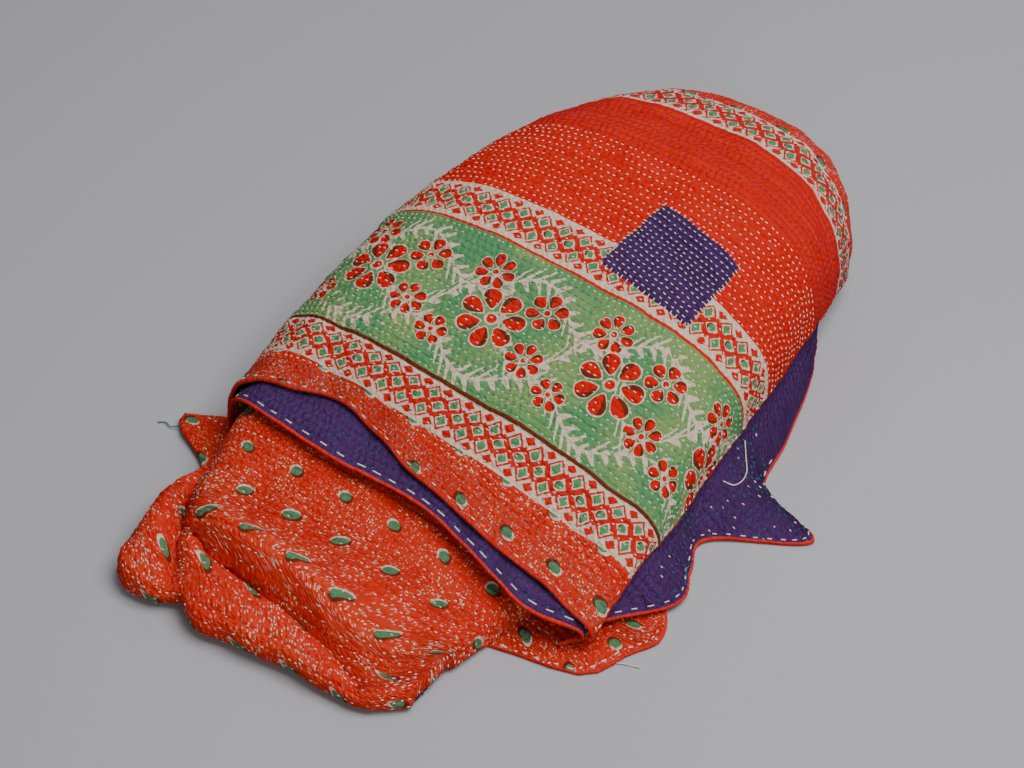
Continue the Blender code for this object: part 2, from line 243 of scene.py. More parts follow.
# Where each part of the printed cloth ends, along the cloth from its hem.
PRINT_BANDS = (
    ("dots", 48.0),
    ("lattice", 86.0),
    ("flowers", 216.0),
    ("lattice", 256.0),
    ("scarlet", 404.0),
    ("lattice", 444.0),
    ("dots", 2400.0),
)


def named(columns, rows):
    """A table's rows, each as a dictionary by column name."""
    return [dict(zip(columns, row)) for row in rows]


def unit(vectors):
    """Vectors made one long."""
    return vectors / np.maximum(np.linalg.norm(vectors, axis=-1, keepdims=True), 1e-9)


def reach_along(points):
    """How far along a line through points each point lies."""
    return np.concatenate([[0.0], np.cumsum(np.linalg.norm(np.diff(points, axis=0), axis=1))])


def smooth_path(values, knots, wanted):
    """A smooth curve through values at knots, read at the wanted places."""
    values = np.asarray(values, float)
    knots = np.asarray(knots, float)
    steps = np.diff(knots)
    shape = (-1,) + (1,) * (values.ndim - 1)
    slopes = np.diff(values, axis=0) / steps.reshape(shape)
    before, after = steps[:-1].reshape(shape), steps[1:].reshape(shape)
    middle = (slopes[:-1] * after + slopes[1:] * before) / (before + after)
    slope = np.concatenate([slopes[:1], middle, slopes[-1:]])
    cell = np.clip(np.searchsorted(knots, wanted, side="right") - 1, 0, len(steps) - 1)
    width = steps[cell].reshape(shape)
    share = ((wanted - knots[cell]) / steps[cell]).reshape(shape)
    start, end = values[cell], values[cell + 1]
    rise = (3 - 2 * share) * share ** 2
    return (start * (1 - rise) + end * rise
            + slope[cell] * width * share * (1 - share) ** 2
            - slope[cell + 1] * width * share ** 2 * (1 - share))


def spread_evenly(points, cells):
    """Points at equal distances along a line through the given points."""
    points = np.asarray(points, float)
    along = reach_along(points)
    wanted = np.linspace(0.0, along[-1], cells + 1)
    return np.stack([np.interp(wanted, along, points[:, axis]) for axis in range(3)], axis=-1)


def arch(rib):
    """The line of an arched rib, from its left foot to its right foot."""
    angle = np.linspace(0.0, math.pi, ARCH_STEPS + 1)
    side = -np.cos(angle)
    reach = np.sign(side) * np.abs(side) ** rib["square"]
    share = (reach + 1) / 2
    rise = np.sin(angle) ** rib["square"]
    foot = rib["foot_left"] + (rib["foot_right"] - rib["foot_left"]) * share
    top = rib["top_left"] + (rib["top_right"] - rib["top_left"]) * share
    x = rib["left"] + (rib["right"] - rib["left"]) * share
    y = rib["y"] - rib["bow"] * np.abs(reach) ** 3 + rib["skew"] * reach
    return np.stack([x, y, foot + (top - foot) * rise], axis=-1)


def strip_ribs():
    """Every rib of the strip in order, each as evenly spaced points from left to right."""
    ribs = [spread_evenly(arch(rib), RIB_STEPS) for rib in named(RIB_COLUMNS, BACK_RIBS)]
    front = named(FRONT_COLUMNS, FRONT_FOLD)
    for line, share in zip(FRONT_LINES, LEAN_SHARES):
        across = np.array([(row["x"] + row["lean"] * share, row[line + "_y"], row[line + "_z"])
                           for row in front], float)
        along = reach_along(across)
        curve = smooth_path(across, along, np.linspace(0, along[-1], CURVE_STEPS + 1))
        ribs.append(spread_evenly(curve, RIB_STEPS))
    for rib in named(FLAT_COLUMNS, FLAT_RIBS):
        ends = [(rib["left"], rib["y"], rib["level"]), (rib["right"], rib["y"], rib["level"])]
        ribs.append(spread_evenly(ends, RIB_STEPS))
    return np.array(ribs)


def rib_order():
    """The leg and y of each rib, in the order of the strip."""
    lines = [("front", name) for name in FRONT_LINES]
    return [row[:2] for row in BACK_RIBS] + lines + [row[:2] for row in FLAT_RIBS]


def grid_normals(grid):
    """Unit normals of a grid of points, up where its rows run back and its columns run right."""
    return unit(np.cross(np.gradient(grid, axis=1), np.gradient(grid, axis=0)))


def rib_places():
    """How far along the cloth each rib lies, and the leg and y of each."""
    ribs = strip_ribs()
    gaps = np.linalg.norm(np.diff(ribs, axis=0), axis=-1).mean(axis=1)
    return np.concatenate([[0.0], np.cumsum(gaps)]), rib_order()


def row_places(knots):
    """How far along the cloth each fine row lies: whole half stitch rows, closer where it shows."""
    last = int(knots[-1] // HALF_ROW)
    order = rib_order()
    places = [0]
    while places[-1] < last:
        rib = np.searchsorted(knots, places[-1] * HALF_ROW, side="right") - 1
        leg = order[min(rib, len(knots) - 1)][0]
        places.append(min(places[-1] + ROW_GAPS[leg], last))
    return np.array(places) * HALF_ROW


def margin(ply, name, knots, places):
    """The free margin that runs on from each fine row of a ply: over a knee to its end."""
    stated = {(row["leg"], row["y"]): row for row in named(MARGIN_COLUMNS, MARGINS + TUCKED_MARGINS)
              if row["ply"] == name}
    knees, ends = [], []
    for place, key in zip(knots, rib_order()):
        start = ply[int(np.argmin(np.abs(places - place))), -1]
        row = stated.get(key)
        for part, found in (("knee", knees), ("end", ends)):
            stop = [row[part + axis] for axis in ("_x", "_y", "_z")] if row else start
            found.append(np.array(stop) - start)
    start = ply[:, -1:]
    knee = start + smooth_path(np.array(knees), knots, places)[:, None]
    end = start + smooth_path(np.array(ends), knots, places)[:, None]
    share = np.linspace(0, 1, MARGIN_STEPS + 1)[1:].reshape(1, -1, 1)
    return start * (1 - share) ** 2 + knee * 2 * share * (1 - share) + end * share ** 2


def slide_hem(ply, name, places):
    """A ply with its hem moved along the cloth, less and less to HEM_REACH from it, and the slides."""
    hems = named(HEM_COLUMNS, HEMS)
    xs = np.linspace(hems[0]["x"], hems[-1]["x"], CURVE_STEPS + 1)
    soft = smooth_path([hem[name] for hem in hems], [hem["x"] for hem in hems], xs)
    slides = np.interp(ply[0, :, 0], xs, soft)
    share = np.clip(1 - places / HEM_REACH, 0, 1) ** HEM_FADE
    gap = places[1] - places[0]
    slope = (ply[HEM_SLOPE_ROWS] - ply[0]) / HEM_SLOPE_ROWS
    before = ply[:1] - slope * HEM_SPARE_ROWS
    longer = np.concatenate([before, ply])
    known = np.concatenate([[-HEM_SPARE_ROWS * gap], places])
    slid = ply.copy()
    moved = places[:, None] + slides * share[:, None]
    for column in range(ply.shape[1]):
        for axis in range(3):
            slid[:, column, axis] = np.interp(moved[:, column], known, longer[:, column, axis])
    return slid, moved


def rib_span(first, last):
    """Where two ribs lie along the cloth, each given by its leg and y."""
    knots, order = rib_places()
    return knots[order.index(first)], knots[order.index(last)]


def shape_creases(strip, places):
    """The strip with its creases: soft troughs and ridges along short lines in plan."""
    spans = {"top": (-50.0, rib_span(("top", -150), ("far", 338))[1]),
             "tongue": rib_span(("inner", -45), ("front", "chin"))}
    lifted = strip.copy()
    for crease in named(CREASE_COLUMNS, CREASES):
        start, end = spans[crease["leg"]]
        window = np.clip(np.minimum(places - start, end - places) / CREASE_FADE, 0, 1)
        nearest = np.full(strip.shape[:2], 1e9)
        share = np.zeros(strip.shape[:2])
        points = np.array(crease["line"], float)
        reach = reach_along(points)
        for point, run, low, high in zip(points[:-1], np.diff(points, axis=0), reach[:-1], reach[1:]):
            along = np.clip((strip[..., :2] - point) @ run / run.dot(run), 0, 1)
            away = np.linalg.norm(strip[..., :2] - point - along[..., None] * run, axis=-1)
            share = np.where(away < nearest, (low + along * (high - low)) / reach[-1], share)
            nearest = np.minimum(away, nearest)
        fade = np.sin(np.clip(share, 0.05, 0.95) * math.pi) ** 0.6
        bump = np.exp(-(nearest / crease["half_width"]) ** 2)
        lifted[..., 2] += crease["height"] * fade * bump * window[:, None]
    return lifted


def with_margin(ply, name, knots, places):
    """A ply's fine rows, each run on over its margin and spread evenly, and its crest's reach."""
    whole = np.concatenate([ply, margin(ply, name, knots, places)], axis=1)
    lengths = np.linalg.norm(np.diff(whole, axis=1), axis=-1)
    reach = np.concatenate([np.zeros((len(places), 1)), np.cumsum(lengths, axis=1)], axis=1)
    spread = np.array([spread_evenly(row, RIB_CELLS) for row in whole])
    return spread, reach[:, RIB_STEPS // 2], reach[:, -1]


def fold_quilt():
    """The fine middle of the quilt, its outward normals, and where each point is on the flat cloth."""
    ribs = strip_ribs()
    knots, _ = rib_places()
    places = row_places(knots)
    strip = shape_creases(smooth_path(ribs, knots, places), places)
    lift = grid_normals(strip) * PLY_HALF_GAP
    over, over_places = slide_hem(strip + lift, "over", places)
    under, under_places = slide_hem(strip - lift, "under", places)
    over, crest, over_reach = with_margin(over, "over", knots, places)
    under, _, under_reach = with_margin(under, "under", knots, places)
    outward = unit(strip[:, 0] - strip[:, 1])
    turn = []
    for step in range(1, TURN_STEPS):
        angle = math.pi * step / TURN_STEPS
        turn.append(strip[:, 0] + lift[:, 0] * math.cos(angle)
                    + outward * PLY_HALF_GAP * math.sin(angle))
    middle = np.concatenate([over[:, ::-1], np.stack(turn, axis=1), under], axis=1)
    middle -= np.array([CENTRE[0], CENTRE[1], 0.0])
    share = np.linspace(0, 1, RIB_CELLS + 1)
    over_across = over_reach[:, None] * share[::-1] - crest[:, None]
    bend = math.pi * PLY_HALF_GAP
    turn_across = -crest[:, None] - np.arange(1, TURN_STEPS) * bend / TURN_STEPS
    under_across = -crest[:, None] - bend - under_reach[:, None] * share
    across = np.concatenate([over_across, turn_across, under_across], axis=1)
    along = np.repeat(places[:, None], middle.shape[1], axis=1)
    along[:, :RIB_CELLS + 1] = spread_columns(over_places)[:, ::-1]
    along[:, -RIB_CELLS - 1:] = spread_columns(under_places)
    return middle, -grid_normals(middle), np.stack([across, along], axis=-1)


def spread_columns(values):
    """Values across the ribs, read at the cells of a ply: the last one holds over the margin."""
    return np.array([np.interp(np.linspace(0, RIB_STEPS, RIB_CELLS + 1), np.arange(RIB_STEPS + 1), row)
                     for row in values])


def soft_waves(flat, seed, size, count):
    """Low irregular swells over the flat cloth, from -1 to 1."""
    numbers = np.random.default_rng(seed)
    total = np.zeros(flat.shape[:-1])
    for _ in range(count):
        turn = numbers.uniform(0, math.tau)
        wave = math.tau / (size * numbers.uniform(0.7, 1.6))
        phase = numbers.uniform(0, math.tau)
        total += np.sin((flat[..., 0] * math.cos(turn) + flat[..., 1] * math.sin(turn)) * wave + phase)
    return total / math.sqrt(count) / 1.6


# ---------------------------------------------------------------------------------------------------
# Meshes
# ---------------------------------------------------------------------------------------------------
def mesh_object(name, points, faces, **layers):
    """An object from points in millimetres and faces, with UV maps from places on the cloth."""
    mesh = bpy.data.meshes.new(name)
    mesh.from_pydata((np.asarray(points).reshape(-1, 3) * MM).tolist(), [], faces)
    corners = np.empty(len(mesh.loops), dtype=np.int32)
    mesh.loops.foreach_get("vertex_index", corners)
    for layer_name, places in layers.items():
        layer = mesh.uv_layers.new(name=layer_name)
        layer.data.foreach_set("uv", (np.asarray(places).reshape(-1, 2)[corners] * MM).ravel())
    mesh.shade_smooth()
    thing = bpy.data.objects.new(name, mesh)
    bpy.context.collection.objects.link(thing)
    return thing


def grid_faces(rows, columns, upward=True, closed=False):
    """The quads of a grid of points; a closed one runs on from its last row to its first."""
    index = np.arange(rows * columns).reshape(rows, columns)
    if closed:
        index = np.concatenate([index, index[:1]])
    quads = np.stack([index[:-1, :-1], index[:-1, 1:], index[1:, 1:], index[1:, :-1]], axis=-1)
    quads = quads.reshape(-1, 4)
    return (quads if upward else quads[:, ::-1]).tolist()


def sheet_object(name, grid, flat, rows, upward):
    """A sheet over a grid of points, with its places on the flat cloth and in rows of quilting."""
    quilting = np.stack([flat[..., 0], np.broadcast_to(rows[:, None], flat.shape[:2])], axis=-1)
    return mesh_object(name, grid, grid_faces(*grid.shape[:2], upward), flat_cloth=flat,
                       quilting_rows=quilting)


def edge_loop(rows, columns):
    """The grid places round the edge of the cloth, in order."""
    loop = [(0, column) for column in range(columns)]
    loop += [(row, columns - 1) for row in range(1, rows)]
    loop += [(rows - 1, column) for column in range(columns - 2, -1, -1)]
    loop += [(row, 0) for row in range(rows - 2, 0, -1)]
    return loop


QUILT = {}


def folded():
    """The fold, worked out once."""
    if not QUILT:
        QUILT["rows"] = row_places(rib_places()[0])
        middle, outward, flat = fold_quilt()
        swell = sum(soft_waves(flat * (1, row["squeeze"]), row["seed"], row["size"], row["waves"])
                    * row["height"] for row in named(SWELL_COLUMNS, SWELLS))
        ripple = -np.cos(QUILT["rows"][:, None] / STITCH_ROW * math.tau) * ROW_RIPPLE
        middle = middle + outward * (swell + ripple)[..., None]
        middle[..., 2] = np.maximum(middle[..., 2], CLOTH_FAR)
        QUILT.update(middle=middle, outward=outward, flat=flat)
    return QUILT["middle"], QUILT["outward"], QUILT["flat"]


# ---------------------------------------------------------------------------------------------------
# Finishes
# ---------------------------------------------------------------------------------------------------
class Sum:
    """A number socket that takes part in Python sums: each sign adds its Math node."""

    def __init__(self, finish, socket):
        self.finish = finish
        self.socket = socket

    def with_math(self, operation, *others):
        return self.finish.maths(operation, self, *others)

    def __add__(self, other):
        return self.with_math("ADD", other)

    def __sub__(self, other):
        return self.with_math("SUBTRACT", other)

    def __rsub__(self, other):
        return self.finish.maths("SUBTRACT", other, self)

    def __mul__(self, other):
        return self.with_math("MULTIPLY", other)

    def __truediv__(self, other):
        return self.with_math("DIVIDE", other)

    def __rtruediv__(self, other):
        return self.finish.maths("DIVIDE", other, self)

    def __abs__(self):
        return self.with_math("ABSOLUTE")

    def __lt__(self, other):
        return self.with_math("LESS_THAN", other)

    def __gt__(self, other):
        return self.with_math("GREATER_THAN", other)

    def __or__(self, other):
        return self.with_math("MAXIMUM", other)

    def __and__(self, other):
        return self.with_math("MINIMUM", other)

    __radd__ = __add__
    __rmul__ = __mul__

    def sin(self):
        return self.with_math("SINE")

    def floor(self):
        return self.with_math("FLOOR")

    def fract(self):
        return self.with_math("FRACT")

    def root(self):
        return self.with_math("SQRT")

    def band(self, low, high):
        """1 between low and high, else 0."""
        return (self > low) & (self < high)

    def ramp(self, low, high):
        """Rises softly from 0 at low to 1 at high, or falls where low is the larger."""
        node = self.finish.node("ShaderNodeMapRange", {"interpolation_type": "SMOOTHSTEP"},
                                Value=self, From_Min=low, From_Max=high)
        return Sum(self.finish, node.outputs["Result"])


class Finish:
    """A material and the one way its nodes are added."""

    def __init__(self, name, roughness):
        self.material = bpy.data.materials.new(name)
        self.material.use_nodes = True
        self.tree = self.material.node_tree
        self.shader = self.tree.nodes["Principled BSDF"]
        self.shader.inputs["Roughness"].default_value = roughness
        self.shader.inputs["Specular IOR Level"].default_value = 0.12

    def node(self, kind, settings=None, **values):
        node = self.tree.nodes.new(kind)
        for key, value in (settings or {}).items():
            setattr(node, key, value)
        for key, value in values.items():
            self.feed(node.inputs[key.replace("_", " ")], value)
        return node

    def feed(self, socket, value):
        if isinstance(value, Sum):
            value = value.socket
        if isinstance(value, bpy.types.NodeSocket):
            self.tree.links.new(value, socket)
        elif isinstance(value, tuple) and len(value) == 3 and socket.type == "RGBA":
            socket.default_value = (*value, 1.0)
        else:
            socket.default_value = value

    def maths(self, operation, *values):
        node = self.node("ShaderNodeMath", {"operation": operation})
        for socket, value in zip(node.inputs, values):
            self.feed(socket, value)
        return Sum(self, node.outputs[0])

    def cloth_place(self, layer="flat_cloth"):
        """Across and along the flat cloth, or its rows of quilting, in millimetres."""
        place = self.node("ShaderNodeUVMap", {"uv_map": layer})
        parts = self.node("ShaderNodeSeparateXYZ", Vector=place.outputs["UV"])
        return (Sum(self, parts.outputs["X"]) / MM, Sum(self, parts.outputs["Y"]) / MM)

    def vector(self, x, y):
        return self.node("ShaderNodeCombineXYZ", X=x, Y=y).outputs["Vector"]

    def noise(self, x, y, detail=2.0):
        node = self.node("ShaderNodeTexNoise", None, Vector=self.vector(x, y), Scale=1.0, Detail=detail)
        return Sum(self, node.outputs["Fac"])

    def cells(self, x, y, loose):
        """Distance to the nearest of scattered points, one to each unit cell, and its random value."""
        node = self.node("ShaderNodeTexVoronoi", {"voronoi_dimensions": "2D"},
                         Vector=self.vector(x, y), Scale=1.0, Randomness=loose)
        shade = self.node("ShaderNodeSeparateColor", Color=node.outputs["Color"])
        return Sum(self, node.outputs["Distance"]), Sum(self, shade.outputs["Red"])

    def mix(self, share, first, second):
        """From the first colour to the second as share goes from 0 to 1."""
        node = self.tree.nodes.new("ShaderNodeMix")
        node.data_type = "RGBA"
        self.feed(node.inputs[0], share)
        self.feed(node.inputs[6], first)
        self.feed(node.inputs[7], second)
        return node.outputs[2]

    def paint(self, colour):
        self.feed(self.shader.inputs["Base Color"], colour)

    def relief(self, height, distance):
        bump = self.node("ShaderNodeBump", None, Height=height, Distance=distance)
        self.tree.links.new(bump.outputs["Normal"], self.shader.inputs["Normal"])


SCARLET = (0.68, 0.006, 0.003)
WARM_RED = (0.68, 0.020, 0.006)
CREAM = (0.80, 0.60, 0.46)
BROWN = (0.15, 0.026, 0.010)
LEAF_GREEN = (0.095, 0.29, 0.110)
PALE_GREEN = (0.22, 0.36, 0.12)
DOT_GREEN = (0.10, 0.23, 0.11)
PURPLE = (0.082, 0.025, 0.138)
BRIGHT_SCARLET = (0.74, 0.020, 0.006)
BRIGHT_RED = (0.74, 0.045, 0.014)
NET_RED = (0.64, 0.016, 0.008)
PALE_PURPLE = (0.120, 0.046, 0.190)
WASHED_PURPLE = (0.048, 0.016, 0.085)
SHADED_PURPLE = (0.03, 0.015, 0.07)
EDGE_RED = (0.40, 0.012, 0.008)
PALE_EDGE_RED = (0.60, 0.03, 0.015)
FLOOR_GREY = (0.325, 0.32, 0.335)
STUDIO_GREY = (0.62, 0.63, 0.66, 1.0)
THREAD_TWIST = 0.0006     # from one turn of a thread to the next, in metres
WEAVE_PITCH = 0.6
PUFF_RELIEF = 0.0030      # how high the quilting's relief stands, in metres
FLAP_RELIEF = 1.7         # how much higher it stands on the purple cloth
EDGE_RELIEF = 0.0003


def quilted_relief(finish, across, along, depth=1.0):
    """Puffs between the rows of stitches, drawn in along them and crumpled, over a plain weave."""
    row = (along / STITCH_ROW).floor()
    sway = finish.noise(across / 9.0, along / 9.0)
    puff = abs((along / STITCH_ROW * math.pi).sin())
    pinch = ((across + row * 2.6 + sway * 5.0) / STITCH_PITCH * math.tau).sin() * 0.5 + 0.5
    crumple = finish.noise(across / 3.4, along / 1.7, 2.0)
    fuzz = finish.noise(across / 0.8, along / 0.8, 2.0)
    weave = (across / WEAVE_PITCH * math.tau).sin() * (along / WEAVE_PITCH * math.tau).sin()
    height = puff * (pinch * 0.4 + 0.4) + crumple * 1.5 + fuzz * 0.22 + weave * 0.05
    finish.relief(height, PUFF_RELIEF * depth)
    return puff


def oval(x, y, wide, tall):
    """1 inside an oval of the given half sizes, with a soft edge."""
    return ((x / wide) * (x / wide) + (y / tall) * (y / tall)).ramp(1.12, 0.9)


def diamond(x, y, wide, tall):
    """1 inside a diamond of the given half sizes, with a soft edge."""
    return (abs(x) / wide + abs(y) / tall).ramp(1.06, 0.94)


SPECK_PITCH = 2.3
SPRAY_PITCH = 21.0
SPRAY_LINES = 5.6         # from one line of specks in a spray to the next
DOT_GAP_ACROSS = 43.0
DOT_GAP_ALONG = 33.0
LATTICE_PITCH = 18.5


def dotted_ground(finish, across, along):
    """Orange red with cream specks in little sprays, and green dots in brown and cream."""
    patchy = finish.noise(across / 26.0, along / 26.0, 3.0)
    ground = finish.mix(patchy.ramp(0.35, 0.7), WARM_RED, BRIGHT_RED)
    speck, chance = finish.cells(across / SPECK_PITCH, along / SPECK_PITCH, 0.8)
    spray, _ = finish.cells(across / SPRAY_PITCH, along / SPRAY_PITCH, 0.8)
    arcs = (spray * SPRAY_PITCH / SPRAY_LINES).fract().band(0.15, 0.80)
    specks = (0.33 - speck).ramp(0.0, 0.07) & arcs & (chance > 0.42)
    colour = finish.mix(specks * (patchy.ramp(0.40, 0.66) * 0.7 + 0.22), ground, CREAM)
    line = (along / DOT_GAP_ALONG).floor()
    x = ((across / DOT_GAP_ACROSS + line * 0.5).fract() - 0.5) * DOT_GAP_ACROSS + (patchy - 0.5) * 8.0
    y = ((along / DOT_GAP_ALONG).fract() - 0.5) * DOT_GAP_ALONG
    colour = finish.mix(oval(x - 1.6, y + 1.0, 4.9, 4.2), colour, CREAM)
    colour = finish.mix(oval(x + 1.7, y - 0.9, 5.6, 4.5), colour, BROWN)
    return finish.mix(oval(x, y, 4.7, 3.9), colour, DOT_GREEN)


def lattice_border(finish, across, along, middle):
    """Cream with a row of green dots in a red net, green diamonds beside it and red lozenges."""
    stray = (finish.noise(across / 7.0, along / 7.0) - 0.5) * 2.2
    x, x_between = (((across / LATTICE_PITCH + shift).fract() - 0.5) * LATTICE_PITCH + stray
                    for shift in (0.0, 0.5))
    y = along - middle + stray
    colour = finish.mix(diamond(x, y, 10.6, 10.2), CREAM, NET_RED)
    colour = finish.mix(diamond(x, y, 6.0, 5.5), colour, CREAM)
    colour = finish.mix(oval(x + 0.7, y, 3.3, 3.0), colour, BROWN)
    colour = finish.mix(oval(x - 0.2, y, 2.9, 2.7), colour, LEAF_GREEN)
    beside = abs(y) - 8.2
    colour = finish.mix(diamond(x_between, beside, 7.6, 7.9), colour, NET_RED)
    colour = finish.mix(diamond(x_between, beside, 5.4, 5.8), colour, CREAM)
    colour = finish.mix(diamond(x_between + 0.5, beside, 3.4, 4.2), colour, BROWN)
    colour = finish.mix(diamond(x_between, beside, 3.5, 4.3), colour, LEAF_GREEN)
    outer = abs(y) - 14.2
    colour = finish.mix(diamond(x, outer, 4.6, 3.8), colour, NET_RED)
    return finish.mix(abs(y) > 17.4, colour, CREAM)


# The flowers of one repeat, placed across the repeat and along from the band's middle.
FLOWER_REPEAT = 106.0
FLOWER_COLUMNS = ("across", "along", "radius", "turn", "petals")
FLOWERS = (
    (0.0, -2.0, 26.0, 0.15, 7),
    (-21.0, 35.0, 15.5, 0.4, 7),
    (33.0, 24.0, 16.0, 0.0, 6),
    (41.0, -20.0, 14.5, 0.7, 7),
    (-34.0, -34.0, 13.0, 0.3, 6),
)


def flower(finish, colour, x, y, radius, turn, petals):
    """Red teardrop petals outlined in cream, brown down one side, round a small red eye."""
    angle = finish.maths("ARCTAN2", y, x) + turn
    away = (x * x + y * y).root() / radius
    part = (angle / math.tau * petals).fract() - 0.5
    bulge, outer = (1 - ((away - 0.68) / half) * ((away - 0.68) / half) for half in (0.34, 0.385))
    petal = (bulge | 0.0).root() * 0.40
    rim = 0.032 / (away + 0.1)
    outline = ((outer | 0.0).root() * 0.40 + rim - abs(part)).ramp(-0.015, 0.02) & (outer > 0.0)
    colour = finish.mix(outline, colour, CREAM)
    body = (petal - abs(part)).ramp(-0.02, 0.02) & (bulge > 0.0)
    colour = finish.mix(body, colour, SCARLET)
    colour = finish.mix(body & (part > petal * 0.42), colour, BROWN)
    colour = finish.mix(away.ramp(0.24, 0.20), colour, CREAM)
    return finish.mix(away.ramp(0.17, 0.13), colour, SCARLET)


# The fern sprays: where in the repeat they start, where they lie along the cloth and how far they swing.
FERNS = ((0.4, 31.0, 15.0), (2.5, -1.0, 27.0), (4.3, -42.0, 13.0))


def flowered_band(finish, across, along, middle):
    """Green with cream fern sprays and red flowers."""
    mottle = finish.noise(across / 45.0, along / 45.0, 4.0)
    colour = finish.mix(mottle.ramp(0.40, 0.64), LEAF_GREEN, PALE_GREEN)
    y = along - middle
    stray = (finish.noise(across / 6.0, along / 6.0) - 0.5) * 3.0
    broken = finish.noise(across / 19.0, along / 19.0, 1.0)
    for start, lift, reach in FERNS:
        stem = (across / FLOWER_REPEAT * math.tau + start).sin() * reach + lift
        off = abs(y - stem) + stray
        leaf = ((across - off * 0.8) / 8.6).fract()
        strokes = (off < 11.5) & (leaf < (0.56 - off * 0.030))
        fern = (strokes | (off < 1.3)) & (broken > 0.36)
        colour = finish.mix(fern * 0.92, colour, CREAM)
    for row in named(FLOWER_COLUMNS, FLOWERS):
        x = ((across - row["across"]) / FLOWER_REPEAT + 0.5).fract() - 0.5
        colour = flower(finish, colour, x * FLOWER_REPEAT, y - row["along"], row["radius"], row["turn"],
                        row["petals"])
    return colour


# Fine lines along the borders: place along the cloth, half width and colour.
PRINT_LINES = ((86.5, 1.5, BROWN), (214.5, 1.6, SCARLET), (216.8, 0.9, CREAM))


def printed_cotton():
    """The printed face: bands across the cloth, each with its own pattern, and painted shade in the hollows
    along the rows of quilting.
    """
    finish = Finish("printed_cotton", 0.9)
    across, along = finish.cloth_place()
    streak = finish.noise(across / 60.0, along / 5.0, 3.0)
    plain = {"dots": dotted_ground(finish, across, along),
             "scarlet": finish.mix(streak.ramp(0.3, 0.7), SCARLET, BRIGHT_SCARLET)}
    figured = {"lattice": lattice_border, "flowers": flowered_band}
    kind, start = PRINT_BANDS[0]
    colour = plain[kind]
    for kind, end in PRINT_BANDS[1:]:
        band = plain[kind] if kind in plain else figured[kind](finish, across, along, (start + end) / 2)
        colour = finish.mix(along > start, colour, band)
        start = end
    wander = (finish.noise(across / 12.0, along / 200.0) - 0.5) * 1.5
    for place, half_width, shade in PRINT_LINES:
        colour = finish.mix((half_width - abs(along + wander - place)).ramp(-0.3, 0.3), colour, shade)
    worn = finish.noise(across / 1.2, along / 1.2, 2.0)
    colour = finish.mix(worn.ramp(0.62, 0.82) * 0.16, colour, CREAM)
    puff = quilted_relief(finish, *finish.cloth_place("quilting_rows"))
    # Painted shade: the print is darkened towards brown in the hollows between the puffs, along the rows of
    # quilting.
    colour = finish.mix((0.30 - puff).ramp(0.0, 0.30) * 0.22, colour, BROWN)
    finish.paint(colour)
    return finish.material


def plain_cotton(name):
    """The purple cotton: slubs, a washed look, and painted shade along the rows of stitches."""
    finish = Finish(name, 0.92)
    across, along = finish.cloth_place()
    slub = finish.noise(across / 0.9, along / 4.5, 3.0)
    wash = finish.noise(across / 30.0, along / 30.0, 3.0)
    colour = finish.mix(slub.ramp(0.35, 0.7), PURPLE, PALE_PURPLE)
    colour = finish.mix(wash.ramp(0.4, 0.7) * 0.35, colour, WASHED_PURPLE)
    puff = quilted_relief(finish, *finish.cloth_place("quilting_rows"), FLAP_RELIEF)
    # Painted shade: the purple is darkened in the hollows between the puffs, along the rows of quilting.
    colour = finish.mix((0.3 - puff).ramp(0.0, 0.3) * 0.35, colour, SHADED_PURPLE)
    finish.paint(colour)
    return finish.material


def thread(name, shade):
    """Twisted cotton thread, with painted shade in the grooves of its twist."""
    finish = Finish(name, 0.75)
    place = finish.node("ShaderNodeTexCoord")
    parts = finish.node("ShaderNodeSeparateXYZ", Vector=place.outputs["Object"])
    twist = (Sum(finish, parts.outputs["X"]) + Sum(finish, parts.outputs["Y"])) / THREAD_TWIST
    # Painted shade: stripes of darker thread where the grooves of the twist lie in shade.
    twist_groove_shade = tuple(part * 0.72 for part in shade)
    finish.paint(finish.mix((twist * math.tau).sin() * 0.5 + 0.5, twist_groove_shade, shade))
    return finish.material


def turned_edge():
    """The red cotton of the turned edge."""
    finish = Finish("turned_edge", 0.9)
    across, along = finish.cloth_place()
    speck = finish.noise(across / 1.1, along / 1.1, 2.0)
    finish.paint(finish.mix(speck.ramp(0.4, 0.7), EDGE_RED, PALE_EDGE_RED))
    finish.relief(speck, EDGE_RELIEF)
    return finish.material


# ---------------------------------------------------------------------------------------------------
# Pieces
# ---------------------------------------------------------------------------------------------------
def give(thing, material):
    """Gives a piece its finish and makes it ride with the quilt."""
    thing.data.materials.append(material)
    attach(thing, "root")
    return thing


def fine_rows():
    """How far along the cloth each fine row lies before its hem is moved."""
    folded()
    return QUILT["rows"]


def ply_columns(ply):
    """The first and last columns of a ply in the fine cloth."""
    return (0, RIB_CELLS) if ply == "over" else (RIB_CELLS + TURN_STEPS, 2 * RIB_CELLS + TURN_STEPS)


def cloth_point(ply, across, row, side):
    """A point on the quilt's face (side 1) or backing (side -1), and the way out of it there."""
    middle, outward, flat = folded()
    low, high = ply_columns(ply)
    row = min(max(row, 0.0), len(middle) - 1.001)
    first = int(row)
    found = []
    for line in (first, first + 1):
        places = flat[line, low:high + 1, 0][::-1]
        column = high - np.interp(across, places, np.arange(high - low + 1))
        left = min(int(column), high - 1)
        share = column - left
        out = outward[line, left] * (1 - share) + outward[line, left + 1] * share
        point = middle[line, left] * (1 - share) + middle[line, left + 1] * share
        found.append((point, out))
    share = row - first
    point, out = (found[0][part] * (1 - share) + found[1][part] * share for part in (0, 1))
    out = unit(out) * side
    return point + out * CLOTH_FAR, out


def row_at(place):
    """The fine row at a place along the cloth, with its fraction."""
    rows = fine_rows()
    return float(np.interp(place, rows, np.arange(len(rows))))


STITCH_INSET = 0.26       # shares of a stitch: how far its top is drawn in, and lifted
STITCH_LIFT = 0.28
STITCH_CLEAR = 0.05
STITCH_STRAY = 0.45       # how far the running stitches stray along their row


